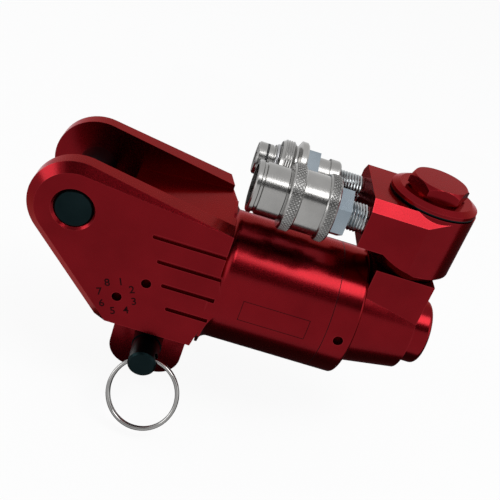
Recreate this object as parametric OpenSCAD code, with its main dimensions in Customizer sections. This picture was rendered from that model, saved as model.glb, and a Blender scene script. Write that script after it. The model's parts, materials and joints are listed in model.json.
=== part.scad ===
// Hydraulic torque wrench drive unit: fork with link pin, cylinder, two-axis
// hose swivel with a pair of couplers, and a pull pin for the ratchet link.
// Sizes are in mm. The origin is the centre of the link pin; X runs along the
// cylinder towards the hose end, Y across the fork, Z up from the cylinder.

/* [Fork] */
// width over the two fork plates
fork_width = 53.4; // [50:0.2:53.6]
// clear gap between the plates, for the ratchet link
jaw_gap = 34.6; // [33:0.2:36]
// radius of the rounded eye at the front of each plate
eye_radius = 18.2; // [17:0.1:20]
// diameter of the link pin
pin_dia = 15; // [12:0.5:17]
// link pin ahead of the bottom rear corner of the fork
eye_ahead = 57.4; // [56:0.2:60]
// link pin above the cylinder axis
eye_rise = 22.6; // [22:0.2:24]
// bottom of the fork below the cylinder axis
fork_floor = 21.3; // [21:0.1:23]
// fall of the plate tops towards the rear, in degrees
top_fall = 9.5; // [8:0.5:11]
// width of the bevel round the eye, seen from the side
bevel_wide = 3.5; // [2:0.1:5]
// depth of the bevel into the plate
bevel_deep = 2.95; // [2:0.05:4]
// width of the grooves on the sides
groove_wide = 1.8; // [1.2:0.1:2.4]
// pitch of the side grooves
groove_pitch = 9.8; // [9:0.1:10.2]

/* [Cylinder] */
// outside diameter of the cylinder
barrel_dia = 54; // [54:0.2:56]
// bore of the cylinder
bore_dia = 42; // [38:0.2:43]
// diameter of the piston rod
rod_dia = 22; // [18:0.5:24]
// rear end of the cylinder, behind the fork's datum corner
barrel_end = 48.4; // [47.6:0.1:49]
// length of the end cap's outside ring
cap_ring = 11.2; // [10:0.1:11.6]
// stroke of the piston
stroke = 24; // [15:0.5:24]

/* [Swivel] */
// diameter of the spigot that carries the swivel
spigot_dia = 22; // [20:0.5:23]
// greatest radius of the swivel block
swivel_radius = 21.2; // [20.4:0.1:22]
// width of the swivel block's neck
neck_width = 28; // [27:0.2:30]
// post axis behind the fork's datum corner
post_x = 72.3; // [72:0.1:72.8]
// diameter of the post inside the manifold
post_dia = 20; // [18:0.5:21]
// diameter of the flange under the post's hexagon
flange_dia = 34.4; // [32:0.2:35]
// hexagon of the post, across flats
hex_flats = 21; // [19:0.5:23]

/* [Manifold] */
// half width of the port block
block_half = 19.8; // [19.8:0.1:21]
// top of the manifold above the cylinder axis
block_top = 58.4; // [58:0.1:60]
// bottom of the port block above the cylinder axis
block_floor = 39.1; // [38.5:0.1:40]
// chamfer along the block's long top edges
block_chamfer = 4; // [2:0.1:4.5]
// radius of the round boss
boss_radius = 17.6; // [17:0.1:18]

/* [Couplers] */
// sideways distance of each coupler from the middle
coupler_y = 13.6; // [13:0.1:13.6]
// height of the couplers above the cylinder axis
coupler_z = 47.8; // [47.4:0.1:48.4]
// radius of the near collar's knurled rings
near_ring = 12.7; // [12.2:0.1:13.2]
// radius of the far collar's flange
far_ring = 11.6; // [11:0.1:12]
// outside diameter of the pipe threads
pipe_dia = 10.3; // [9.6:0.1:11]

/* [Pull pin] */
// half thickness of the lug that carries the pull pin
lug_half = 16.2; // [14:0.2:16.4]
// half width of the slot in the lug
slot_half = 6; // [5:0.1:7]
// diameter of the pull pin's shaft
shaft_dia = 8; // [6:0.5:8.5]
// diameter of the pull pin's knob
knob_dia = 11.5; // [11:0.1:12]
// travel of the pull pin
pin_travel = 17; // [8:0.5:18]
// outside diameter of the pull ring
ring_dia = 29.5; // [28:0.5:31]
// thickness of the ring's wire
ring_wire = 1.6; // [1.2:0.1:1.8]

/* [Fits] */
// gap at running faces
face_gap = 0.4; // [0.3:0.05:0.5]
// radial clearance of running fits
run_gap = 0.05; // [0.02:0.01:0.1]

/* [Hidden] */
$fn = 96;
plate = (fork_width - jaw_gap) / 2;
half = fork_width / 2;
eye = [-eye_ahead, eye_rise];
nose = [-40.2, -fork_floor];
web_front = -40;
rear_x = 2.2;
corner_x = -0.3;
corner_z = -8;
// point where the plate's top line leaves the eye, tucked just inside its round edge
tuck = 0.02;
top_t = eye + (eye_radius - tuck) * [sin(top_fall), cos(top_fall)];
// direction of the front lower line, from the nose to the eye
nose_d = eye - nose;
nose_len = norm(nose_d);
nose_a = atan2(nose_d[1], nose_d[0]) + asin(eye_radius / nose_len);
nose_run = sqrt(nose_len * nose_len - eye_radius * eye_radius);
nose_t = nose + nose_run * [cos(nose_a), sin(nose_a)];
rear_top = top_t[1] - tan(top_fall) * (rear_x - top_t[0]);
// plane of the bevel that narrows along the plate's top edge
bev_a = [top_t[0] - bevel_wide * sin(top_fall), -half, top_t[1] - bevel_wide * cos(top_fall)];
bev_b = [top_t[0], -half + bevel_deep, top_t[1]];
bev_c = [rear_x, -half, rear_top];
bev_n = cross(bev_c - bev_a, bev_b - bev_a);
bev_u = bev_n[2] > 0 ? bev_n / norm(bev_n) : -bev_n / norm(bev_n);
web_rise = 26.2;
web_back = rear_top - 1.1;
relief_y = 6;
relief_x = -2.6;
fillet = 4;
groove_deep = 1.2;
// start of the top groove, and the step forward of each next one
groove_start = [-25.7, 21.8];
groove_step = 4.2;
hole_r = 2;
hole_deep = 5;
barrel_r = barrel_dia / 2;
bore_r = bore_dia / 2;
rod_r = rod_dia / 2;
plug_face = barrel_end - 6.1;
cap_end = barrel_end + cap_ring;
cap_round = 1.4;
// turn of the spanner hole in the end cap above the near side
spanner_turn = 2.6;
piston_rear = plug_face - 0.5;
piston_len = 13.6;
piston_front = piston_rear - piston_len;
chamber_front = piston_front - stroke - 1.9;
nut_face = piston_rear - 4;
step_r = rod_r - 4;
rod_front = -39;
head_front = -52;
head_stud = 5;
stud_hole = 14;
seal_r = rod_r + 3.4;
seal_front = -30;
bush_front = -24;
wiper_back = -36;
spigot_r = spigot_dia / 2;
swivel_front = cap_end + face_gap;
swivel_back = 84.2;
swivel_tail = swivel_radius - 3.6;
// stations of the seals in the swivel block
swivel_rings = [swivel_front + 4.2, swivel_back - 2.8];
rear_front = swivel_back + face_gap;
rear_end = 92.8;
rear_r = 13.7;
rear_round = 1.8;
stud_r = 7;
stud_len = 4;
oil_r = 2;
oil_z = 5;
ring_r = 1.05;
neck_top = 29;
socket_low = 13.5;
post_r = post_dia / 2;
thread_r = post_r - 1.5;
boss_floor = neck_top + face_gap;
washer_low = block_top + face_gap;
washer_thick = 0.5;
flange_low = washer_low + washer_thick;
flange_top = flange_low + 2.6;
hex_top = flange_top + 5;
// levels of the seals on the post
post_levels = [boss_floor + 5, boss_floor + 14, block_top - 4];
block_turn = post_x - 2.8;
port_face = 47.4;
boss_bevel = 3.4;
// conical underside of the block: its lower level, and its radius there and at the top
under_z = boss_floor + boss_bevel + 0.4;
under_low = boss_radius + 1;
under_high = 25.6;
// point where the oblique side of the block meets the boss
side_d = [post_x - block_turn, block_half];
side_len = norm(side_d);
side_a = atan2(side_d[1], side_d[0]) - asin(boss_radius / side_len);
side_run = sqrt(side_len * side_len - boss_radius * boss_radius);
side_t = [block_turn, -block_half] + side_run * [cos(side_a), sin(side_a)];
port_r = pipe_dia / 2;
cross_x = post_x - 7.2;
// stations of the near coupler along X
near_tip = 3.2;
near_mouth = near_tip + 3;
near_lip = near_mouth + 2.5;
near_ring1 = 16;
near_mid = 20.9;
near_ring2 = 30;
near_hex = 34.8;
near_pipe = 40;
near_end = 55;
tube_r = 8.8;
mouth_r = 8.2;
sleeve_r = 10.1;
sleeve_dip = 0.6;
middle_r = near_ring - 1;
valve_r = 5.2;
lip_r = 4;
clip_x = near_hex - 3.3;
// stations of the far coupler along X
far_tip = 3.1;
far_lip = far_tip + 1.9;
far_knurl = 12.2;
far_knob = 10.2;
far_hex = 22.9;
far_neck = 27.7;
far_bead = 32.6;
far_pipe = 37.2;
far_end = 52;
// radius of the plain nose, and of the thicker stem under the collar
nose_r = 6.7;
stem_r = nose_r + 0.4;
stem_x = far_knurl - 2.4;
// undercut at the root of the nose, so that the mate seats on the shoulder
nose_root = stem_x - 0.8;
far_valve_r = 3.6;
far_lip_r = 2.4;
far_clip_x = far_knurl - 1.1;
coupler_flats = 17;
lug_front = -31.5;
lug_back = -1.2;
lug_floor = -47.3;
lug_round = 10;
slot_back = -6.6;
slot_rise = 23;
pull_x = -16.3;
pull_z = -31.2;
shaft_r = shaft_dia / 2;
bush_r = shaft_r + 1.5;
shaft_far = pin_travel - slot_half - 0.5;
knob_near = -34.6;
knob_step = -22;
knob_far = -lug_half - 0.8;
knob_r = knob_dia / 2;
knob_collar = knob_r + 0.4;
hang_y = -31;
hang_r = 2.5;
hang_tilt = 30;
// turn of the pull pin about its own axis, so that the ring hangs straight
hang_turn = 19;
ring_mean = (ring_dia - ring_wire) / 2;
// drop of the ring's centre below the hole, half the wire's sag inside the knob less
ring_drop = ring_mean - (ring_mean - sqrt(ring_mean * ring_mean - knob_r * knob_r)) / 2;

// moves a shape from the cylinder's datum corner to the link pin
module placed() translate([eye_ahead, 0, -eye_rise]) children();

// moves a shape to the near coupler's axis
module near() placed() translate([0, -coupler_y, coupler_z]) children();

// moves a shape to the far coupler's axis
module far() placed() translate([0, coupler_y, coupler_z]) children();

// slab of a side outline between two Y planes
module slab(y0, y1) translate([0, y1, 0]) rotate([90, 0, 0]) linear_extrude(y1 - y0) children();

// solid of revolution round X from an outline of radius and station
module turned() rotate([0, 90, 0]) rotate_extrude() children();

// rod along X between two stations
module bar_x(x0, x1, r) translate([x0, 0, 0]) rotate([0, 90, 0]) cylinder(h = x1 - x0, r = r);

// cone along X between two stations
module cone_x(x0, x1, r0, r1) translate([x0, 0, 0]) rotate([0, 90, 0])
    cylinder(h = x1 - x0, r1 = r0, r2 = r1);

// rod along Y between two stations
module bar_y(y0, y1, r) translate([0, y0, 0]) rotate([-90, 0, 0]) cylinder(h = y1 - y0, r = r);

// rod along Z between two levels
module bar_z(z0, z1, r) translate([0, 0, z0]) cylinder(h = z1 - z0, r = r);

// round ring of wire about X
module wire_x(x, mean, r) translate([x, 0, 0]) turned() translate([mean, 0]) circle(r, $fn = 32);

// hexagonal bar along X, by its size across flats
module hex_x(x0, x1, flats) translate([x0, 0, 0]) rotate([0, 90, 0])
    cylinder(h = x1 - x0, d = flats / cos(30), $fn = 6);

// side outline of a fork plate
module plate_outline() {
    translate(eye) circle(eye_radius);
    polygon([nose_t, nose, [corner_x, -fork_floor], [rear_x, corner_z], [rear_x, rear_top], top_t, eye]);
}

// side outline of the web between the plates
module web_outline() polygon([[web_front, -fork_floor], [corner_x, -fork_floor], [rear_x, corner_z],
                              [rear_x, web_back], [web_front, web_rise]]);

// side outline of the lug that carries the pull pin
module lug_outline() {
    translate([lug_front, lug_floor + lug_round]) square([lug_back - lug_front, -lug_floor - lug_round - 18]);
    translate([lug_front + lug_round, lug_floor])
        square([lug_back - lug_front - 2 * lug_round, lug_round + 1]);
    translate([lug_front + lug_round, lug_floor + lug_round]) circle(lug_round);
    translate([lug_back - lug_round, lug_floor + lug_round]) circle(lug_round);
}

// section of the bevel: outward from the edge and into the plate
module bevel_section() polygon([[-1.3 * bevel_wide, -0.3 * bevel_deep], [0.3 * bevel_wide, 1.3 * bevel_deep],
                                [0.3 * bevel_wide, -0.3 * bevel_deep]]);

// material bevelled off the outer edges of the plate at negative Y
module plate_bevel() {
    translate([eye[0], -half, eye[1]]) rotate([-90, 0, 0]) rotate([0, 0, -nose_a - 90])
        rotate_extrude(angle = nose_a + top_fall) translate([eye_radius, 0]) bevel_section();
    translate([nose[0], -half, nose[1]]) rotate([-90, 0, 0]) rotate([0, 0, -nose_a - 90])
        translate([0, nose_run + 3, 0]) rotate([90, 0, 0]) linear_extrude(nose_run + 9) bevel_section();
    intersection() {
        translate(bev_c) rotate([0, acos(bev_u[2]), atan2(bev_u[1], bev_u[0])])
            translate([-90, -90, 0]) cube([180, 180, 12]);
        translate([top_t[0] - 2, -half - 5, 0]) cube([rear_x + 7 - top_t[0], bevel_deep + 6, 80]);
    }
}

// grooves milled in the side of the fork at negative Y
module side_grooves() for (i = [0:3])
    translate([groove_start[0] + groove_step * i, -half - 1, groove_start[1] - groove_pitch * i]) {
        translate([0, 0, -groove_wide / 2])
            cube([rear_x + 1 - groove_start[0] - groove_step * i, 1 + groove_deep, groove_wide]);
        bar_y(0, 1 + groove_deep, groove_wide / 2);
    }

// fork plates, web and lug in one piece
module fork_body() difference() {
    union() {
        slab(-half, plate - half) plate_outline();
        slab(half - plate, half) plate_outline();
        slab(-jaw_gap / 2 - 1, jaw_gap / 2 + 1) web_outline();
        slab(-lug_half, lug_half) lug_outline();
    }
    plate_bevel();
    mirror([0, 1, 0]) plate_bevel();
    translate([rear_x, relief_y, -60]) rotate([0, 0, atan2(rear_x - relief_x, half - relief_y)])
        translate([0, -40, 0]) cube([40, 120, 120]);
}

// concave corner between the fork's rear wall and the cylinder
module rear_fillet() intersection() {
    turned() difference() {
        translate([barrel_r - 1, rear_x - 1]) square([fillet + 1, fillet + 1]);
        translate([barrel_r + fillet, rear_x + fillet]) circle(fillet);
    }
    translate([0, -half, -fork_floor])
        cube([rear_x + fillet + 1, half + relief_y, fork_floor + rear_top - 0.5]);
}

// stepped bores for the piston, the rod and its seals
module rod_bores() {
    bar_x(chamber_front, barrel_end + 1, bore_r);
    bar_x(seal_front, chamber_front + 1, seal_r);
    bar_x(web_front - 1, seal_front + 1, rod_r + 0.4);
    bar_x(web_front - 1, wiper_back, seal_r);
}

// link pin holes with countersunk outer edges
module pin_holes() translate([eye[0], 0, eye[1]]) {
    bar_y(-half - 1, half + 1, pin_dia / 2);
    for (s = [0, 1]) mirror([0, s, 0]) translate([0, -half - 1, 0]) rotate([-90, 0, 0])
        cylinder(h = 2, r1 = pin_dia / 2 + 2, r2 = pin_dia / 2);
}

module fork_housing() color("firebrick") placed() difference() {
    union() {
        fork_body();
        bar_x(corner_x + 1, barrel_end, barrel_r);
        rear_fillet();
    }
    rod_bores();
    pin_holes();
    translate([lug_front - 1, -slot_half, lug_floor - 1])
        cube([slot_back - lug_front + 1, 2 * slot_half, slot_rise + 1]);
    translate([pull_x, 0, pull_z]) bar_y(-lug_half - 1, 0, bush_r);
    translate([pull_x, 0, pull_z]) bar_y(0, lug_half + 1, shaft_r + face_gap);
    side_grooves();
    mirror([0, 1, 0]) side_grooves();
    translate([-23.8, 0, 0.9]) bar_y(-half - 1, hole_deep - half, hole_r);
    translate([-33.3, 0, -8.7]) bar_y(-half - 1, hole_deep - half, hole_r);
}

module link_pin() color("darkslategray") translate([0, -half + 0.6, 0]) rotate([-90, 0, 0]) {
    cylinder(h = 0.6, r1 = pin_dia / 2 - 0.6, r2 = pin_dia / 2);
    translate([0, 0, 0.6]) cylinder(h = fork_width - 2.4, d = pin_dia);
    translate([0, 0, fork_width - 1.8]) cylinder(h = 0.6, r1 = pin_dia / 2, r2 = pin_dia / 2 - 0.6);
}

module rod_bush() color("goldenrod") placed() difference() {
    bar_x(bush_front, chamber_front, seal_r);
    bar_x(bush_front - 1, chamber_front + 1, rod_r + run_gap);
}

module rod_seal() color("dimgray") placed() difference() {
    bar_x(seal_front, bush_front, seal_r);
    bar_x(seal_front - 1, bush_front + 1, rod_r + run_gap);
    turned() translate([rod_r + 1.7, bush_front]) circle(0.9, $fn = 32);
}

module rod_wiper() color("dimgray") placed() difference() {
    bar_x(web_front + 0.5, wiper_back, seal_r);
    bar_x(web_front - 1, wiper_back + 1, rod_r + run_gap);
    cone_x(web_front, web_front + 2.5, rod_r + 3, rod_r);
}

module end_cap() color("brown") placed() difference() {
    turned() {
        polygon([[0, plug_face], [bore_r - 0.03, plug_face], [bore_r - 0.03, barrel_end],
                 [barrel_r, barrel_end], [barrel_r, cap_end - cap_round], [barrel_r - cap_round, cap_end],
                 [spigot_r, cap_end],
                 [spigot_r, rear_front], [stud_r, rear_front], [stud_r, rear_front + stud_len],
                 [0, rear_front + stud_len]]);
        translate([barrel_r - cap_round, cap_end - cap_round]) circle(cap_round);
    }
    turned() translate([bore_r - 2.1, plug_face + 2]) square([3, 2.4]);
    translate([0, 0, oil_z]) bar_x(plug_face - 1, post_x, oil_r);
    translate([post_x, 0, 0]) bar_z(oil_z, spigot_r + 1, oil_r);
    translate([cap_end - cap_ring / 2, 0, 0]) rotate([-spanner_turn, 0, 0])
        bar_y(-barrel_r - 1, hole_deep - barrel_r, hole_r);
}

module cap_seal() color("dimgray") placed() wire_x(plug_face + 3.2, bore_r - ring_r, ring_r);

module rear_cap() color("brown") placed() turned() {
    polygon([[stud_r, rear_front], [rear_r - 1, rear_front], [rear_r, rear_front + 1],
             [rear_r, rear_end - rear_round], [rear_r - rear_round, rear_end], [0, rear_end],
             [0, rear_front + stud_len], [stud_r, rear_front + stud_len]]);
    translate([rear_r - rear_round, rear_end - rear_round]) circle(rear_round);
}

module pin_bush() color("goldenrod") placed() translate([pull_x, 0, pull_z]) difference() {
    bar_y(-lug_half, -slot_half, bush_r);
    bar_y(-lug_half - 1, 1 - slot_half, shaft_r + run_gap);
}

module piston() color("silver") placed() difference() {
    bar_x(piston_front, piston_rear, bore_r - 0.1);
    bar_x(piston_front - 1, piston_rear + 1, step_r);
    bar_x(nut_face, piston_rear + 1, step_r + 4);
    turned() translate([bore_r - 2.2, piston_front + 3]) square([3, 3]);
    turned() translate([bore_r - 1.6, piston_front + 8.5]) square([3, 3]);
}

module piston_rod() color("lightgray") placed() difference() {
    union() {
        bar_x(rod_front, piston_front, rod_r);
        bar_x(piston_front - 1, piston_rear - 0.5, step_r);
    }
    bar_x(rod_front - 1, rod_front + stud_hole, head_stud);
}

module rod_head() color("gray") placed() difference() {
    union() {
        bar_x(head_front, rod_front, rod_r - 1);
        bar_x(rod_front - 1, rod_front + stud_hole - 0.5, head_stud);
    }
    translate([head_front - 1, -5, -rod_r]) cube([7, 10, 2 * rod_r]);
    translate([head_front + 4, 0, 0]) bar_y(-rod_r, rod_r, 2.5);
}

module piston_seal() color("dimgray") placed() difference() {
    bar_x(piston_front + 3.1, piston_front + 5.9, bore_r - run_gap);
    bar_x(piston_front, piston_rear, bore_r - 2.2);
}

module piston_guide() color("tan") placed() difference() {
    bar_x(piston_front + 8.6, piston_front + 11.4, bore_r - run_gap);
    bar_x(piston_front, piston_rear, bore_r - 1.6);
}

module piston_nut() color("gray") placed() difference() {
    bar_x(nut_face, piston_rear - 0.2, step_r + 3.6);
    bar_x(nut_face - 1, piston_rear + 1, step_r);
    for (a = [0, 180]) rotate([a, 0, 0]) translate([piston_rear - 2.2, -1.5, step_r + 1.6]) cube([3, 3, 4]);
}

module swivel_block() color("firebrick") placed() difference() {
    union() {
        cone_x(swivel_front, swivel_back, swivel_radius, swivel_tail);
        translate([swivel_front, -neck_width / 2, 0])
            cube([swivel_back - swivel_front, neck_width, neck_top]);
    }
    bar_x(swivel_front - 1, swivel_back + 1, spigot_r + run_gap);
    for (x = swivel_rings) turned()
        translate([spigot_r - 1, x - 1.2]) square([1 + run_gap + 2 * ring_r, 2.4]);
    turned() translate([spigot_r - 1, post_x - oil_r]) square([2.2, 2 * oil_r]);
    translate([post_x, 0, 0]) bar_z(spigot_r - 1, socket_low + 1, oil_r);
    translate([post_x, 0, 0]) bar_z(socket_low, neck_top + 1, thread_r);
}

module swivel_seals() color("dimgray") placed() for (x = swivel_rings)
    wire_x(x, spigot_r + run_gap + ring_r, ring_r);

module post() color("brown") placed() translate([post_x, 0, 0]) difference() {
    union() {
        bar_z(socket_low, neck_top, thread_r);
        bar_z(neck_top, flange_low, post_r);
        bar_z(flange_low, flange_top - 1.4, flange_dia / 2);
        translate([0, 0, flange_top - 1.4]) cylinder(h = 1.4, r1 = flange_dia / 2, r2 = flange_dia / 2 - 2.6);
        bar_z(flange_top - 0.5, flange_top + 0.8, hex_flats / 2);
        intersection() {
            translate([0, 0, flange_top + 0.8])
                cylinder(h = hex_top - flange_top - 0.8, d = hex_flats / cos(30), $fn = 6);
            translate([0, 0, hex_top - 14]) cylinder(h = 14, r1 = hex_flats / 2 + 14, r2 = hex_flats / 2);
        }
    }
    for (z = post_levels) translate([0, 0, z - 1.2]) difference() {
        cylinder(h = 2.4, r = post_r + 1);
        translate([0, 0, -1]) cylinder(h = 5, r = post_r - 2 * ring_r + run_gap);
    }
    bar_z(socket_low - 1, coupler_z, oil_r);
    translate([0, 0, coupler_z]) bar_y(-post_r - 1, post_r + 1, oil_r);
}

module post_washer() color("silver") placed() translate([post_x, 0, 0]) difference() {
    bar_z(washer_low, flange_low, flange_dia / 2);
    bar_z(washer_low - 1, flange_low + 1, post_r);
}

module post_seals() color("dimgray") placed() translate([post_x, 0, 0]) for (z = post_levels)
    translate([0, 0, z]) rotate_extrude()
        translate([post_r - ring_r + run_gap, 0]) circle(ring_r - run_gap, $fn = 32);

// plan outline of the port block
module block_outline() polygon([[port_face, -block_half], [block_turn, -block_half], side_t,
                                [side_t[0], -side_t[1]], [block_turn, block_half], [port_face, block_half]]);

// chamfer along the block's long edge at negative Y
module block_bevel() translate([port_face - 2, -block_half, block_top]) rotate([45, 0, 0])
    translate([0, -20, -block_chamfer / sqrt(2)]) cube([50, 40, 20]);

module manifold() color("firebrick") placed() difference() {
    union() {
        difference() {
            translate([0, 0, block_floor]) linear_extrude(block_top - block_floor) block_outline();
            block_bevel();
            mirror([0, 1, 0]) block_bevel();
        }
        translate([post_x, 0, 0]) bar_z(boss_floor + boss_bevel, block_top, boss_radius);
        translate([post_x, 0, boss_floor])
            cylinder(h = boss_bevel, r1 = boss_radius - boss_bevel, r2 = boss_radius);
        intersection() {
            translate([0, 0, under_z]) linear_extrude(block_floor + 0.5 - under_z) block_outline();
            translate([post_x, 0, under_z])
                cylinder(h = block_floor + 1 - under_z, r1 = under_low, r2 = under_high);
        }
    }
    translate([post_x, 0, 0]) bar_z(boss_floor - 1, block_top + 1, post_r + run_gap);
    for (s = [-1, 1]) translate([0, s * coupler_y, coupler_z]) {
        bar_x(port_face - 1, s < 0 ? near_end + 1 : far_end + 1, port_r);
        bar_x(far_end, cross_x, oil_r);
    }
    translate([cross_x, 0, coupler_z]) bar_y(-coupler_y, coupler_y, oil_r);
}

module near_body() color("silver") near() difference() {
    union() {
        bar_x(near_mouth, near_hex, tube_r);
        hex_x(near_hex, near_pipe, coupler_flats);
        bar_x(near_pipe, near_end, port_r);
    }
    bar_x(near_mouth - 1, near_lip + 1, lip_r);
    bar_x(near_lip, near_hex - 4, valve_r);
    bar_x(near_hex - 5, near_end + 1, oil_r);
    turned() translate([lip_r - 1, near_mouth + 0.8]) square([1.9, 0.9]);
    turned() translate([tube_r - 0.8, clip_x - 0.8]) square([2, 1.6]);
}

module near_collar() color("silver") near() difference() {
    turned() polygon([[mouth_r, near_tip], [sleeve_r - 0.5, near_tip], [sleeve_r, near_tip + 0.5],
                      [sleeve_r, near_tip + 1.8], [sleeve_r - sleeve_dip, near_tip + 2.2],
                      [sleeve_r - sleeve_dip, near_tip + 3], [sleeve_r, near_tip + 3.4],
                      [sleeve_r, near_ring1 - 1], [sleeve_r - sleeve_dip, near_ring1 - 0.6],
                      [sleeve_r - sleeve_dip, near_ring1], [near_ring - 0.5, near_ring1],
                      [near_ring, near_ring1 + 0.5], [near_ring, near_mid - 0.5], [near_ring - 0.5, near_mid],
                      [middle_r, near_mid], [middle_r, near_ring2], [near_ring - 0.5, near_ring2],
                      [near_ring, near_ring2 + 0.5], [near_ring, near_hex - face_gap - 0.5],
                      [near_ring - 0.5, near_hex - face_gap], [tube_r + run_gap, near_hex - face_gap],
                      [tube_r + run_gap, near_mouth], [mouth_r, near_mouth - face_gap]]);
    turned() translate([tube_r - 0.2, clip_x - 1.1]) square([1.1, 2.2]);
}

module near_clip() color("dimgray") near() wire_x(clip_x, tube_r - 0.1, 0.7);

module near_poppet() color("lightgray") near() {
    bar_x(near_mouth + 0.6, near_lip + face_gap, lip_r - 0.6);
    cone_x(near_lip + face_gap, near_lip + face_gap + 1.2, lip_r - 0.4, valve_r - run_gap);
    bar_x(near_lip + face_gap + 1.2, near_lip + 6, valve_r - run_gap);
    bar_x(near_lip + 6, near_lip + 13, 2);
}

module near_seal() color("dimgray") near() wire_x(near_mouth + 1.25, lip_r + 0.45, 0.45);

module far_body() color("silver") far() difference() {
    union() {
        cone_x(far_tip, far_tip + 0.6, nose_r - 0.6, nose_r);
        bar_x(far_tip + 0.6, nose_root, nose_r);
        bar_x(nose_root, stem_x, nose_r - 0.5);
        bar_x(stem_x, far_hex, stem_r);
        hex_x(far_hex, far_neck, coupler_flats);
        bar_x(far_neck, far_bead, 7.5);
        turned() {
            translate([0, far_bead]) square([8.3 - 1.4, far_pipe - far_bead]);
            translate([0, far_bead]) square([8.3, far_pipe - far_bead - 1.4]);
            translate([8.3 - 1.4, far_pipe - 1.4]) circle(1.4);
        }
        bar_x(far_pipe, far_end, port_r);
    }
    bar_x(far_tip - 1, far_lip + 1, far_lip_r);
    bar_x(far_lip, far_neck - 2, far_valve_r);
    bar_x(far_neck - 3, far_end + 1, oil_r);
    turned() translate([nose_r - 0.8, far_tip + 3.4]) square([2, 0.9]);
    turned() translate([stem_r - 0.8, far_clip_x - 0.8]) square([2, 1.6]);
}

module far_collar() color("silver") far() turned()
    polygon([[stem_r + run_gap, far_knurl], [far_knob - 0.8, far_knurl], [far_knob, far_knurl + 1.2],
             [far_knob, far_knurl + 4.6], [far_knob - 1, far_knurl + 5.6], [far_knob - 1, far_knurl + 6.4],
             [far_ring, far_knurl + 7.6],
             [far_ring, far_hex - face_gap - 0.7], [far_ring - 0.7, far_hex - face_gap],
             [stem_r + run_gap, far_hex - face_gap]]);

module far_clip() color("dimgray") far() wire_x(far_clip_x, stem_r - 0.1, 0.7);

module far_poppet() color("lightgray") far() {
    bar_x(far_tip + 0.4, far_lip + face_gap, far_lip_r - 0.5);
    bar_x(far_lip + face_gap, far_lip + 4.5, far_valve_r - run_gap);
    bar_x(far_lip + 4.5, far_lip + 11, 1.4);
}

module far_seal() color("dimgray") far() wire_x(far_tip + 3.85, nose_r - 0.4, 0.4);

module pull_pin() color("darkslategray") placed() translate([pull_x, 0, pull_z]) difference() {
    union() {
        bar_y(knob_far - 1, shaft_far - 1, shaft_r);
        translate([0, shaft_far - 1, 0]) rotate([-90, 0, 0]) cylinder(h = 1, r1 = shaft_r, r2 = shaft_r - 1);
        bar_y(knob_step, knob_far, knob_collar);
        bar_y(knob_near + 0.8, knob_step, knob_r);
        translate([0, knob_near, 0]) rotate([-90, 0, 0]) cylinder(h = 0.8, r1 = knob_r - 0.8, r2 = knob_r);
    }
    translate([0, hang_y, 0]) rotate([0, -hang_turn, 0]) bar_x(-knob_collar - 1, knob_collar + 1, hang_r);
}

module pull_ring() color("silver") placed() translate([pull_x, hang_y, pull_z]) rotate([0, -hang_turn, 0])
    rotate([-hang_tilt, 0, 0]) translate([0, 0, -ring_drop]) rotate([90, 0, 0]) rotate_extrude() {
        translate([ring_mean, -0.45 * ring_wire]) circle(ring_wire / 2, $fn = 32);
        translate([ring_mean, 0.45 * ring_wire]) circle(ring_wire / 2, $fn = 32);
    }

fork_housing();
link_pin();
rod_bush();
rod_seal();
rod_wiper();
end_cap();
cap_seal();
rear_cap();
pin_bush();
piston();
piston_rod();
rod_head();
piston_seal();
piston_guide();
piston_nut();
swivel_block();
swivel_seals();
post();
post_washer();
post_seals();
manifold();
near_body();
near_collar();
near_clip();
near_poppet();
near_seal();
far_body();
far_collar();
far_clip();
far_poppet();
far_seal();
pull_pin();
pull_ring();
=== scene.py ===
import json
import math

import bmesh
import bpy
from mathutils import Matrix, Vector


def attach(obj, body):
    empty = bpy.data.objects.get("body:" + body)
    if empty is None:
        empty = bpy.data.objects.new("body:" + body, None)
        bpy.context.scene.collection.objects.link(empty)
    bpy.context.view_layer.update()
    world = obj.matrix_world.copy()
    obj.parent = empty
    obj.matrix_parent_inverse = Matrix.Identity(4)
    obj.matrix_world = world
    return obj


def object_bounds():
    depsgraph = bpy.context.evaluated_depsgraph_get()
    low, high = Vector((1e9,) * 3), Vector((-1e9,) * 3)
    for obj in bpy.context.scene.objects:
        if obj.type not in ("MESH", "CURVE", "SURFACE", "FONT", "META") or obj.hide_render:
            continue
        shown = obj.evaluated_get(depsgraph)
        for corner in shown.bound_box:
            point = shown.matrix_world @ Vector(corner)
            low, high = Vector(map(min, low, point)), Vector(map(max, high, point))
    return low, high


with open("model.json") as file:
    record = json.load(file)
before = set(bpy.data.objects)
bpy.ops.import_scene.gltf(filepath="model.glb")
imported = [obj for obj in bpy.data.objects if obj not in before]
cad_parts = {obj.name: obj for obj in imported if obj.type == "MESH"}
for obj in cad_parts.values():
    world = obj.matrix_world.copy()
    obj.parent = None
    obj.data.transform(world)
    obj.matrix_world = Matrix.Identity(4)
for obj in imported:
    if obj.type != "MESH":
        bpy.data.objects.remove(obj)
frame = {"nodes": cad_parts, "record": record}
cad_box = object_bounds()

MM = 0.001
# the point on the cylinder's axis under the fork's rear corner, in the part's frame, in millimetres
BARREL = Vector((57.4, 0.0, -22.6))
# the axes of the two couplers, across and up from the cylinder's axis, in millimetres
NEAR = (-13.6, 47.8)
FAR = (13.6, 47.8)
# how deep the underside of an added piece lies in its solid, in millimetres
SUNK = 0.2


def at(x, y, z):
    """A point given in millimetres from BARREL, in the part's frame in metres."""
    return (Vector((x, y, z)) + BARREL) * MM


# Materials

# the share of a noise texture's output that is spread over a range
NOISE_SPAN = (0.3, 0.7)
# how far the pale edges, partly wear and partly a painted highlight, go towards the edge's own colour, and how
# wide they are in metres
WEAR_AND_HIGHLIGHT = 0.3
WEAR_AND_HIGHLIGHT_REACH = 0.0006
# the height of a metal's fine relief in metres
RELIEF = 0.00005
# the dyed layer on the red pieces tints the gloss
RED_GLOSS = (0.9, 0.33, 0.36, 1)
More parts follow.
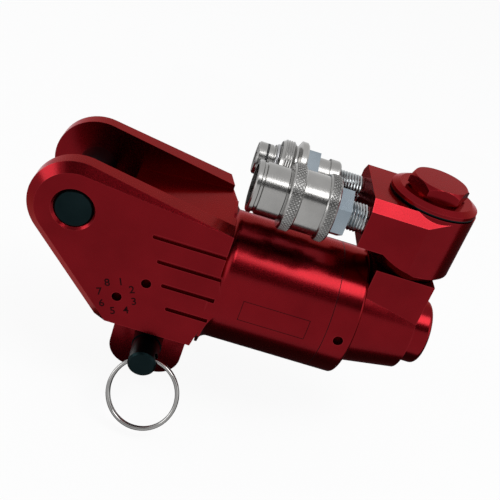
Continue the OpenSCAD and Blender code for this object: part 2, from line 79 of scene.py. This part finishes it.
# painted shade in the roots of knurls and threads, near black
ROOT_SHADE = (0.02, 0.021, 0.022)


def shader(name):
    """A new material with its node tree, its main shader and the object's coordinates."""
    mat = bpy.data.materials.new(name)
    mat.use_nodes = True
    tree = mat.node_tree
    bsdf = tree.nodes["Principled BSDF"]
    coord = tree.nodes.new("ShaderNodeTexCoord")
    return mat, tree, bsdf, coord.outputs["Object"]


def noise(tree, vector, scale, detail, stretch=(1, 1, 1)):
    """Noise of so many cells a metre, drawn out along the axes by the inverse of stretch."""
    mapping = tree.nodes.new("ShaderNodeMapping")
    mapping.inputs["Scale"].default_value = stretch
    tree.links.new(vector, mapping.inputs["Vector"])
    tex = tree.nodes.new("ShaderNodeTexNoise")
    tex.inputs["Scale"].default_value = scale
    tex.inputs["Detail"].default_value = detail
    tree.links.new(mapping.outputs["Vector"], tex.inputs["Vector"])
    return tex.outputs["Fac"]


def ramp(tree, fac, *colours):
    """Two colours spread over a noise."""
    node = tree.nodes.new("ShaderNodeValToRGB")
    for element, position, colour in zip(node.color_ramp.elements, NOISE_SPAN, colours):
        element.position = position
        element.color = (*colour, 1)
    tree.links.new(fac, node.inputs["Fac"])
    return node.outputs["Color"]


def remap(tree, value, source, target=(0, 1)):
    """A value brought from one range to another, and held at its ends."""
    node = tree.nodes.new("ShaderNodeMapRange")
    node.inputs["From Min"].default_value, node.inputs["From Max"].default_value = source
    node.inputs["To Min"].default_value, node.inputs["To Max"].default_value = target
    tree.links.new(value, node.inputs["Value"])
    return node.outputs["Result"]


def mix(tree, fac, first, second):
    """The first colour at 0 and the second at 1. Each is a socket or a plain colour."""
    node = tree.nodes.new("ShaderNodeMix")
    node.data_type = "RGBA"
    tree.links.new(fac, node.inputs["Factor"])
    # sockets 6 and 7 take the colours of this node, and output 2 gives the mixed one
    for colour, socket in ((first, node.inputs[6]), (second, node.inputs[7])):
        if isinstance(colour, tuple):
            socket.default_value = (*colour, 1)
        else:
            tree.links.new(colour, socket)
    return node.outputs[2]


def vector_math(tree, operation, first, second=None):
    """A vector node with a socket as its first value, and a socket or plain numbers as its second."""
    node = tree.nodes.new("ShaderNodeVectorMath")
    node.operation = operation
    tree.links.new(first, node.inputs[0])
    if isinstance(second, bpy.types.NodeSocket):
        tree.links.new(second, node.inputs[1])
    elif second is not None:
        node.inputs[1].default_value = second
    return node


def worn_and_highlit(tree, colour, edge):
    """The colour, paler along the sharp edges: partly wear where the anodising rubs thin, partly a painted
    highlight of edges catching the light.
    """
    geo = tree.nodes.new("ShaderNodeNewGeometry")
    soft = tree.nodes.new("ShaderNodeBevel")
    soft.samples = 6
    soft.inputs["Radius"].default_value = WEAR_AND_HIGHLIGHT_REACH
    dot = vector_math(tree, "DOT_PRODUCT", geo.outputs["True Normal"], soft.outputs["Normal"])
    flat, sharp = 0.995, 0.85
    return mix(tree, remap(tree, dot.outputs["Value"], (flat, sharp), (0, WEAR_AND_HIGHLIGHT)), colour, edge)


def bump(tree, bsdf, height, strength):
    """Fine relief on the surface."""
    node = tree.nodes.new("ShaderNodeBump")
    node.inputs["Strength"].default_value = strength
    node.inputs["Distance"].default_value = RELIEF
    tree.links.new(height, node.inputs["Height"])
    tree.links.new(node.outputs["Normal"], bsdf.inputs["Normal"])


def between(tree, place, start, end):
    """1 between two stations along X, given in metres, and 0 elsewhere."""
    split = tree.nodes.new("ShaderNodeSeparateXYZ")
    tree.links.new(place, split.inputs["Vector"])
    compare = tree.nodes.new("ShaderNodeMath")
    compare.operation = "COMPARE"
    compare.inputs[1].default_value = (start + end) / 2
    compare.inputs[2].default_value = (end - start) / 2
    tree.links.new(split.outputs["X"], compare.inputs[0])
    return compare.outputs[0]


def crest(tree, place, centre, low, high):
    """0 at the roots and 1 at the crests of a ring about X, by the distance from its axis in millimetres: the
    mask of the painted shade in the roots.
    """
    away = vector_math(tree, "SUBTRACT", place, at(0, *centre))
    across = vector_math(tree, "MULTIPLY", away.outputs["Vector"], (0, 1, 1))
    length = vector_math(tree, "LENGTH", across.outputs["Vector"])
    return remap(tree, length.outputs["Value"], (low * MM, high * MM))


def metal(name, low, high, rough, grain, relief, metallic=1.0, stretch=(1, 1, 1), edge=None, coat=0.0,
          stripe=None, ring=None):
    """A surface whose colour drifts between two tones, with a fine grain in gloss and relief.

    A stripe gives two stations along X and the two tones of the metal between them.
    A ring gives an axis and two radii, and the metal is darker towards the smaller one, as painted shade in the
    roots."""
    mat, tree, bsdf, place = shader(name)
    drift = noise(tree, place, 60, 4)
    colour = ramp(tree, drift, low, high)
    if stripe:
        colour = mix(tree, between(tree, place, *stripe[:2]), colour, ramp(tree, drift, *stripe[2:]))
    # painted shade: darker towards the roots of knurls, ridges and threads
    if ring:
        colour = mix(tree, crest(tree, place, *ring), ROOT_SHADE, colour)
    # paler sharp edges: partly wear, partly a painted highlight
    if edge:
        colour = worn_and_highlit(tree, colour, edge)
        bsdf.inputs["Specular Tint"].default_value = RED_GLOSS
    tree.links.new(colour, bsdf.inputs["Base Color"])
    fine = noise(tree, place, grain, 3, stretch)
    tree.links.new(remap(tree, fine, NOISE_SPAN, rough), bsdf.inputs["Roughness"])
    bump(tree, bsdf, fine, relief)
    bsdf.inputs["Metallic"].default_value = metallic
    bsdf.inputs["Coat Weight"].default_value = coat
    bsdf.inputs["Coat Roughness"].default_value = 0.15
    bsdf.inputs["Coat IOR"].default_value = 1.2
    return mat


RED = ((0.125, 0.0026, 0.0052), (0.155, 0.0038, 0.007))
# the edge colour is partly wear and partly a painted highlight along the sharp edges
RED_LAYER = {"edge": (0.4, 0.035, 0.045), "coat": 0.32}
ZINC = ((0.25, 0.246, 0.24), (0.34, 0.335, 0.327))
SCREW = ((0.34, 0.36, 0.37), (0.46, 0.48, 0.49))
BLUE = ((0.2, 0.24, 0.275), (0.29, 0.33, 0.365))
# fine turning marks round X
TURNED = {"grain": 260, "relief": 0.12, "stretch": (40, 1, 1)}

red = metal("red_anodised", *RED, (0.2, 0.29), 2500, 0.1, **RED_LAYER)
red_turned = metal("red_turned", *RED, (0.17, 0.27), 200, 0.1, stretch=(60, 1, 1), **RED_LAYER)
black = metal("black_oxide", (0.004, 0.009, 0.01), (0.007, 0.014, 0.0155), (0.3, 0.42), 1800, 0.15)
zinc = metal("zinc_plate", *ZINC, (0.15, 0.26), **TURNED)
zinc_near = metal("zinc_near_hex", *ZINC, (0.2, 0.3), stripe=(0.0921, 0.0975, *BLUE), **TURNED)
zinc_far = metal("zinc_far_hex", *ZINC, (0.2, 0.3), stripe=(0.0802, 0.0852, *BLUE), **TURNED)
zinc_knurl = metal("zinc_knurl", *ZINC, (0.25, 0.38), 1500, 0.1, ring=(NEAR, 12.6, 13.0))
zinc_ridge = metal("zinc_ridge", *ZINC, (0.25, 0.38), 1500, 0.1, ring=(FAR, 10.05, 10.4))
near_screw = metal("near_screw", *SCREW, (0.2, 0.32), 1500, 0.12, ring=(NEAR, 5.0, 5.5))
far_screw = metal("far_screw", *SCREW, (0.2, 0.32), 1500, 0.12, ring=(FAR, 5.0, 5.5))
steel = metal("machined_steel", (0.3, 0.3, 0.31), (0.42, 0.42, 0.43), (0.25, 0.38), **TURNED)
chrome = metal("bright_nickel", (0.24, 0.236, 0.232), (0.32, 0.316, 0.31), (0.1, 0.18), 2000, 0.05)
bronze = metal("bronze", (0.38, 0.22, 0.07), (0.5, 0.31, 0.11), (0.28, 0.42), 1500, 0.12)
rubber = metal("seal_rubber", (0.011, 0.011, 0.012), (0.022, 0.022, 0.023), (0.55, 0.75), 2500, 0.2, metallic=0)
guide = metal("guide_band", (0.22, 0.13, 0.05), (0.3, 0.19, 0.08), (0.5, 0.65), 2500, 0.2, metallic=0)
mark = metal("engraved_mark", (0.012, 0.003, 0.004), (0.03, 0.005, 0.006), (0.45, 0.6), 3000, 0.2)

SLOTS = {"red_body": red, "black_oxide": black, "zinc": zinc, "steel": steel, "chrome": chrome,
         "bronze": bronze, "seal": rubber, "guide": guide}
SPECIAL = {"end_cap": red_turned, "rear_cap": red_turned, "near_body": zinc_near, "far_body": zinc_far,
           "post_washer": black}
SLOT_OF = {part["node"]: part["material_slot"] for part in frame["record"]["subparts"]}


def dress(obj, mat):
    """One material over the whole object."""
    obj.data.materials.clear()
    obj.data.materials.append(mat)


for node_name, node_object in frame["nodes"].items():
    dress(node_object, SPECIAL.get(node_name, SLOTS[SLOT_OF[node_name]]))


# Pieces, in millimetres from BARREL


def piece(name, verts, faces, mat, body, sharp=40):
    """A new closed mesh that rides on a body. Edges of more than sharp degrees stay sharp."""
    mesh = bpy.data.meshes.new(name)
    mesh.from_pydata([tuple(v) for v in verts], [], faces)
    build = bmesh.new()
    build.from_mesh(mesh)
    bmesh.ops.recalc_face_normals(build, faces=build.faces)
    build.to_mesh(mesh)
    build.free()
    mesh.shade_smooth()
    mesh.set_sharp_from_angle(angle=math.radians(sharp))
    obj = bpy.data.objects.new(name, mesh)
    bpy.context.scene.collection.objects.link(obj)
    dress(obj, mat)
    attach(obj, body)


def band(name, centre, stations, turns, radius, mat, body, sharp=40):
    """A closed sleeve round X: radius(station, turn) gives its outside, its inside lies under the solid."""
    verts, faces = [], []
    count = len(stations) + 2
    inner = radius(stations[0], 0) - SUNK
    for i in range(turns):
        angle = 2 * math.pi * i / turns
        outline = [(x, radius(x, i / turns)) for x in stations]
        for x, r in outline + [(stations[-1], inner), (stations[0], inner)]:
            verts.append(at(x, centre[0] + r * math.cos(angle), centre[1] + r * math.sin(angle)))
    for i in range(turns):
        j = (i + 1) % turns
        for k in range(count):
            n = (k + 1) % count
            faces.append((i * count + k, j * count + k, j * count + n, i * count + n))
    piece(name, verts, faces, mat, body, sharp)


def relief_band(name, centre, span, spacing, turns, r, drop, height, mat, body, sharp):
    """A sleeve with height(station, turn) above r, which drops under the solid's face at both ends."""
    start, end = span
    count = max(1, round((end - start) / spacing))
    stations = [start + (end - start) * i / count for i in range(count + 1)]

    def radius(x, turn):
        return r - drop if x in (stations[0], stations[-1]) else r + height(x, turn)

    band(name, centre, stations, turns, radius, mat, body, sharp)


def saw(value):
    """0 at whole numbers and 1 halfway between them."""
    return 1 - abs(2 * (value % 1) - 1)


def knurl(name, start, end):
    """A ring of raised diamonds between two crossing sets of grooves, on the near collar."""
    r, drop, count, pitch, depth = 12.64, 0.15, 52, 1.4, 0.5

    def height(x, turn):
        along = (x - start) / pitch
        return depth * min(saw(turn * count + along), saw(turn * count - along))

    relief_band(name, NEAR, (start, end), pitch / 4, count * 4, r, drop, height, zinc_knurl, "near_collar", 15)


def ridges(name, start, end):
    """A ring of fine turned ridges on the far collar."""
    r, drop, pitch, depth = 10.14, 0.15, 0.95, 0.34

    def height(x, turn):
        return depth * saw((x - start) / pitch)

    relief_band(name, FAR, (start, end), pitch / 6, 72, r, drop, height, zinc_ridge, "far_collar", 30)


def thread(name, centre, start, end, mat):
    """A single-start pipe thread."""
    r, drop, pitch, depth = 5.16, 0.1, 1.2, 0.5

    def height(x, turn):
        return depth * saw(x / pitch - turn)

    relief_band(name, centre, (start, end), pitch / 6, 48, r, drop, height, mat, "manifold", 30)


def digits():
    """Plain numbers in a ring round the small hole of the near plate, as on a dial."""
    hole_x, face_y, hole_z = -33.3, -26.72, -8.7
    count, ring_r = 8, 7.0
    facing = Matrix.Rotation(math.radians(90), 4, "X") @ Matrix.Rotation(math.radians(20), 4, "Z")
    for i in range(count):
        curve = bpy.data.curves.new(f"dial_digit_{i + 1}", "FONT")
        curve.body = str(i + 1)
        curve.size = 4.6 * MM
        curve.offset = 0.06 * MM
        curve.extrude = 0.02 * MM
        curve.align_x = "CENTER"
        curve.align_y = "CENTER"
        obj = bpy.data.objects.new(curve.name, curve)
        bpy.context.scene.collection.objects.link(obj)
        angle = math.radians(90 - 360 / count * i)
        spot = at(hole_x + ring_r * math.cos(angle), face_y, hole_z + ring_r * math.sin(angle))
        obj.matrix_world = Matrix.Translation(spot) @ facing
        dress(obj, mark)
        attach(obj, "housing")


def bare_frame():
    """The thin engraved border of an empty plate on the cylinder, as four closed bars."""
    r, line, sides = 27.03, 0.22, 16
    front, rear = 13.9, 40.9
    low, high = math.radians(167.3), math.radians(185.5)
    wide = line / r
    verts, faces = [], []

    def bar(points):
        first = len(verts)
        for (x0, a0), (x1, a1) in points:
            for x, a, h in ((x0, a0, r), (x1, a1, r), (x1, a1, r - SUNK), (x0, a0, r - SUNK)):
                verts.append(at(x, h * math.cos(a), h * math.sin(a)))
        last = len(verts) - 4
        for k in range(first, last, 4):
            for m in range(4):
                n = (m + 1) % 4
                faces.append((k + m, k + n, k + 4 + n, k + 4 + m))
        faces.append(tuple(range(first, first + 4)))
        faces.append(tuple(range(last, last + 4)))

    turns = [low + (high + wide - low) * k / sides for k in range(sides + 1)]
    for x in (front, rear):
        bar([((x, a), (x + line, a)) for a in turns])
    for a in (low, high):
        bar([((x + line / 2, a), (x + line / 2, a + wide)) for x in (front, rear)])
    piece("bare_frame", verts, faces, mark, "housing")


def cap_seam():
    """The dark line of the joint between the cylinder and its end cap."""
    x, r, width = 48.4, 27.02, 0.3
    stations = [x - width / 2, x + width / 2]
    band("cap_seam", (0, 0), stations, 96, lambda station, turn: r, mark, "housing")


knurl("near_knurl_front", 16.4, 20.5)
knurl("near_knurl_rear", 30.4, 34.0)
ridges("far_ridges", 13.2, 17.0)
thread("near_thread", NEAR, 40.2, 47.3, near_screw)
thread("far_thread", FAR, 37.4, 47.3, far_screw)
digits()
bare_frame()
cap_seam()


# Studio, in metres


def stage_plane(name, size, place, mat, tilt=0.0, seen=True):
    """A flat sheet of the studio, not part of the object. One that isn't seen shows only in the gloss."""
    mesh = bpy.data.meshes.new(name)
    w, h = size[0] / 2, size[1] / 2
    mesh.from_pydata([(-w, -h, 0), (w, -h, 0), (w, h, 0), (-w, h, 0)], [], [(0, 1, 2, 3)])
    obj = bpy.data.objects.new(name, mesh)
    bpy.context.scene.collection.objects.link(obj)
    obj.location = place
    obj.rotation_euler = (math.radians(tilt), 0, 0)
    mesh.materials.append(mat)
    obj.visible_camera = seen
    obj.visible_diffuse = seen
    obj.visible_shadow = seen


def larger(tree, first, second):
    """The larger of two values."""
    node = tree.nodes.new("ShaderNodeMath")
    node.operation = "MAXIMUM"
    tree.links.new(first, node.inputs[0])
    tree.links.new(second, node.inputs[1])
    return node.outputs[0]


def background_ray(tree):
    """1 for rays from the camera, from gloss or through glass, 0 for the light that falls on the object."""
    path = tree.nodes.new("ShaderNodeLightPath").outputs
    seen = larger(tree, path["Is Camera Ray"], path["Is Glossy Ray"])
    return larger(tree, seen, path["Is Transmission Ray"])


def plain_material(name, grey, rough):
    """A matt grey for a sheet of the studio, with its node tree and shader."""
    mat = bpy.data.materials.new(name)
    mat.use_nodes = True
    bsdf = mat.node_tree.nodes["Principled BSDF"]
    bsdf.inputs["Base Color"].default_value = (grey, grey, grey, 1)
    bsdf.inputs["Roughness"].default_value = rough
    return mat, mat.node_tree, bsdf


def floor_material():
    """A pale floor that looks white and keeps a little of the object's shadow."""
    mat, tree, bsdf = plain_material("pale_floor", 0.9, 0.8)
    glow = tree.nodes.new("ShaderNodeEmission")
    glow.inputs["Strength"].default_value = 1.0
    scale = tree.nodes.new("ShaderNodeMath")
    scale.operation = "MULTIPLY"
    scale.inputs[1].default_value = 0.92
    tree.links.new(background_ray(tree), scale.inputs[0])
    blend = tree.nodes.new("ShaderNodeMixShader")
    tree.links.new(scale.outputs[0], blend.inputs["Fac"])
    tree.links.new(bsdf.outputs["BSDF"], blend.inputs[1])
    tree.links.new(glow.outputs["Emission"], blend.inputs[2])
    tree.links.new(blend.outputs["Shader"], tree.nodes["Material Output"].inputs["Surface"])
    return mat


def lamp(name, place, size, power):
    """A soft rectangular lamp that faces the middle of the object."""
    middle = Vector((0.066, 0.0, -0.007))
    light = bpy.data.lights.new(name, "AREA")
    light.shape = "RECTANGLE"
    light.size, light.size_y = size
    light.energy = power
    obj = bpy.data.objects.new(name, light)
    bpy.context.scene.collection.objects.link(obj)
    obj.location = place
    obj.rotation_euler = (middle - Vector(place)).to_track_quat("-Z", "Y").to_euler()


def surroundings():
    """Soft pale light from all round, seen as white by the camera and in the gloss."""
    world = bpy.data.worlds.new("studio")
    bpy.context.scene.world = world
    world.use_nodes = True
    tree = world.node_tree
    soft = tree.nodes["Background"]
    soft.inputs["Color"].default_value = (0.8, 0.82, 0.85, 1)
    soft.inputs["Strength"].default_value = 0.55
    white = tree.nodes.new("ShaderNodeBackground")
    white.inputs["Color"].default_value = (1, 1, 1, 1)
    white.inputs["Strength"].default_value = 1.0
    both = tree.nodes.new("ShaderNodeMixShader")
    tree.links.new(background_ray(tree), both.inputs["Fac"])
    tree.links.new(soft.outputs["Background"], both.inputs[1])
    tree.links.new(white.outputs["Background"], both.inputs[2])
    tree.links.new(both.outputs["Shader"], tree.nodes["World Output"].inputs["Surface"])


lowest = cad_box[0][2]
dark_card = plain_material("dark_card", 0.06, 0.9)[0]
stage_plane("floor", (6, 6), (0.07, 0, lowest - 0.004), floor_material())
stage_plane("card_floor", (0.52, 0.5), (0.26, 0.2, lowest - 0.003), dark_card, seen=False)
stage_plane("card_above_camera", (1.8, 0.48), (0.07, -0.82, 0.82), dark_card, tilt=45, seen=False)

lamp("key_above", (0.52, -0.36, 1.13), (0.8, 0.42), 6.5)
lamp("fill_left", (-1.0, -0.42, 0.32), (0.5, 0.5), 3.2)
lamp("fill_right", (1.2, -0.3, 0.6), (0.8, 1.0), 2.5)
surroundings()


def camera():
    """The photograph's own view: azimuth, elevation, roll and lens fitted to the object's edges."""
    az, el, roll = math.radians(-4.67), math.radians(28.85), math.radians(19.22)
    target, distance = at(-0.4, 0, 10.92), 0.32658
    back = Vector((math.sin(az) * math.cos(el), -math.cos(az) * math.cos(el), math.sin(el)))
    right = (-back).cross(Vector((0, 0, 1))).normalized()
    up = right.cross(-back)
    across = right * math.cos(roll) + up * math.sin(roll)
    upward = up * math.cos(roll) - right * math.sin(roll)
    data = bpy.data.cameras.new("camera")
    data.sensor_width = 36
    data.lens = 57.56
    data.shift_x = 0.0649
    data.shift_y = -0.0071
    data.clip_start = 0.01
    obj = bpy.data.objects.new("camera", data)
    bpy.context.scene.collection.objects.link(obj)
    matrix = Matrix((across, upward, back)).transposed().to_4x4()
    matrix.translation = target + back * distance
    obj.matrix_world = matrix
    bpy.context.scene.camera = obj


camera()
bpy.context.scene.view_settings.view_transform = "Standard"
